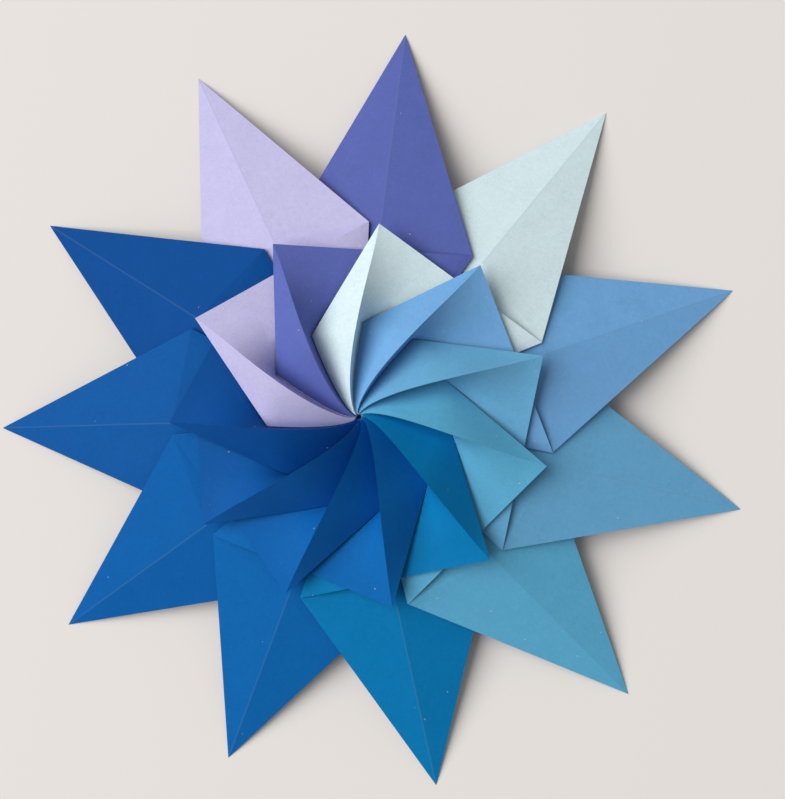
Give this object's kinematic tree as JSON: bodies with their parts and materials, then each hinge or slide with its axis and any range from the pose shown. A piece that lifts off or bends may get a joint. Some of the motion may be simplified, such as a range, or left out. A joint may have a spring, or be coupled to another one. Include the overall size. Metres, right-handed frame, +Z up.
{
  "type": "modular origami star",
  "caption": "Flat modular origami star of folded paper sheets in graded blues and violets, with creased points and a whorl of raised curved petals in the middle.",
  "frame": {"origin": "on the star's middle axis, in the plane of the surface that its points rest on", "axes": "+Z up along the star's middle axis, out of its whorled side; +Y towards the picture's top edge, +X towards its right edge"},
  "size_m": [0.174, 0.1747, 0.0217],
  "materials": {
    "paper_indigo": "matte indigo paper",
    "paper_mint": "matte mint paper",
    "paper_cornflower": "matte cornflower paper",
    "paper_sky": "matte sky paper",
    "paper_teal": "matte teal paper",
    "paper_cerulean": "matte cerulean paper",
    "paper_azure": "matte azure paper",
    "paper_blue": "matte blue paper",
    "paper_royal": "matte royal paper",
    "paper_ultramarine": "matte ultramarine paper",
    "paper_lilac": "matte lilac paper"
  },
  "bodies": {
    "root": {"sheet_indigo": "paper_indigo", "sheet_mint": "paper_mint", "sheet_cornflower": "paper_cornflower", "sheet_sky": "paper_sky", "sheet_teal": "paper_teal", "sheet_cerulean": "paper_cerulean", "sheet_azure": "paper_azure", "sheet_blue": "paper_blue", "sheet_royal": "paper_royal", "sheet_ultramarine": "paper_ultramarine", "sheet_lilac": "paper_lilac"}
  },
  "joints": []
}
